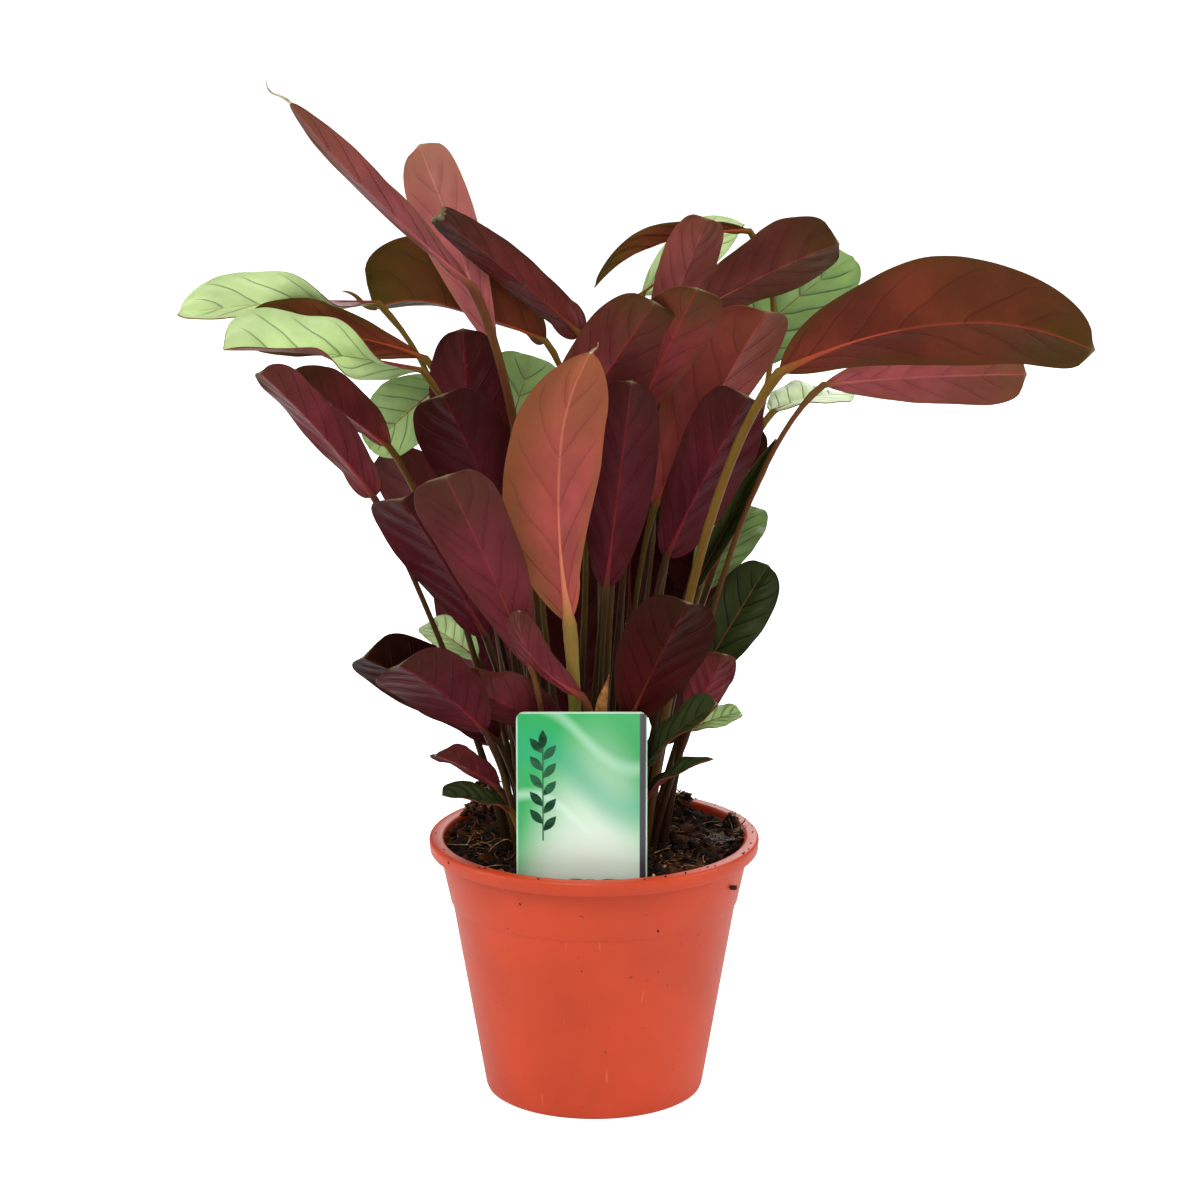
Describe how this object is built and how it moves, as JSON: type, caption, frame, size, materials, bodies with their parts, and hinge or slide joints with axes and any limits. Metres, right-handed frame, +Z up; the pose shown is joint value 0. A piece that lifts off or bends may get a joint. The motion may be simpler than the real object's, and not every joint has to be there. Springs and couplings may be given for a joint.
{
  "type": "potted plant",
  "caption": "Potted prayer-plant relative with long-stalked green and burgundy leaves, in a round plastic nursery pot with soil and an unlettered plant label; stands on its base.",
  "frame": {"origin": "middle of the pot's flat underside, on the surface that it stands on", "axes": "+Z up along the pot's axis; the label stands on the -Y side, which is the front; +X is to the viewer's right"},
  "size_m": [0.3677, 0.1824, 0.4281],
  "materials": {
    "pot_plastic": "matte",
    "peat": "rough",
    "label_card": "gloss",
    "dry_leaf": "matte",
    "leaf_coral": "satin",
    "leaf_pink": "satin",
    "leaf_red": "satin",
    "leaf_burgundy": "satin",
    "leaf_plum": "satin",
    "leaf_olive": "satin",
    "leaf_orange": "satin",
    "leaf_pale": "satin",
    "leaf_green": "satin"
  },
  "bodies": {
    "root": {"pot": "pot_plastic", "soil": "peat", "plant_label": "label_card", "dry_sheath": "dry_leaf", "leaf_tall_furled": "leaf_red", "leaf_pink_upright": "leaf_pink", "leaf_red_torn_tip": "leaf_red", "leaf_olive_broad": "leaf_olive", "leaf_pale_far_left": "leaf_pale", "leaf_brown_left": "leaf_olive", "leaf_pale_left": "leaf_pale", "leaf_red_hanging": "leaf_red", "leaf_burgundy_left": "leaf_burgundy", "leaf_yellow_green": "leaf_pale", "leaf_dark_left_back": "leaf_plum", "leaf_dark_left_upper": "leaf_plum", "leaf_dark_left_front": "leaf_burgundy", "leaf_dark_left_low": "leaf_plum", "leaf_low_left_long": "leaf_burgundy", "leaf_low_left_pale_edge": "leaf_burgundy", "leaf_low_left_centre": "leaf_burgundy", "leaf_sickle": "leaf_burgundy", "leaf_tiny_left": "leaf_burgundy", "leaf_tiny_left_green": "leaf_green", "leaf_pale_bit": "leaf_pale", "leaf_coral_front": "leaf_coral", "leaf_dark_centre": "leaf_plum", "leaf_red_centre": "leaf_red", "leaf_red_right_centre": "leaf_red", "leaf_mauve_top": "leaf_pink", "leaf_green_centre_back": "leaf_green", "leaf_olive_drooping": "leaf_olive", "leaf_pale_top_back": "leaf_pale", "leaf_brown_top_right": "leaf_burgundy", "leaf_green_top_right": "leaf_green", "leaf_broad_right": "leaf_orange", "leaf_burgundy_right": "leaf_burgundy", "leaf_pale_right_back": "leaf_pale", "leaf_red_broad": "leaf_red", "leaf_plum_right": "leaf_plum", "leaf_dark_right_back": "leaf_plum", "leaf_green_right_back": "leaf_green", "leaf_rolled_green": "leaf_green", "leaf_green_right": "leaf_green", "leaf_green_right_low": "leaf_green", "leaf_low_right_front": "leaf_red", "leaf_small_burgundy": "leaf_burgundy", "leaf_green_low_right": "leaf_green", "leaf_narrow_green": "leaf_green", "leaf_tiny_green": "leaf_green", "leaf_back_left": "leaf_plum", "leaf_back_middle": "leaf_plum", "leaf_back_right": "leaf_burgundy", "leaf_back_far_left": "leaf_burgundy", "leaf_back_low": "leaf_plum", "leaf_back_low_left": "leaf_plum", "leaf_back_top": "leaf_green", "leaf_back_low_right": "leaf_plum"}
  },
  "joints": []
}
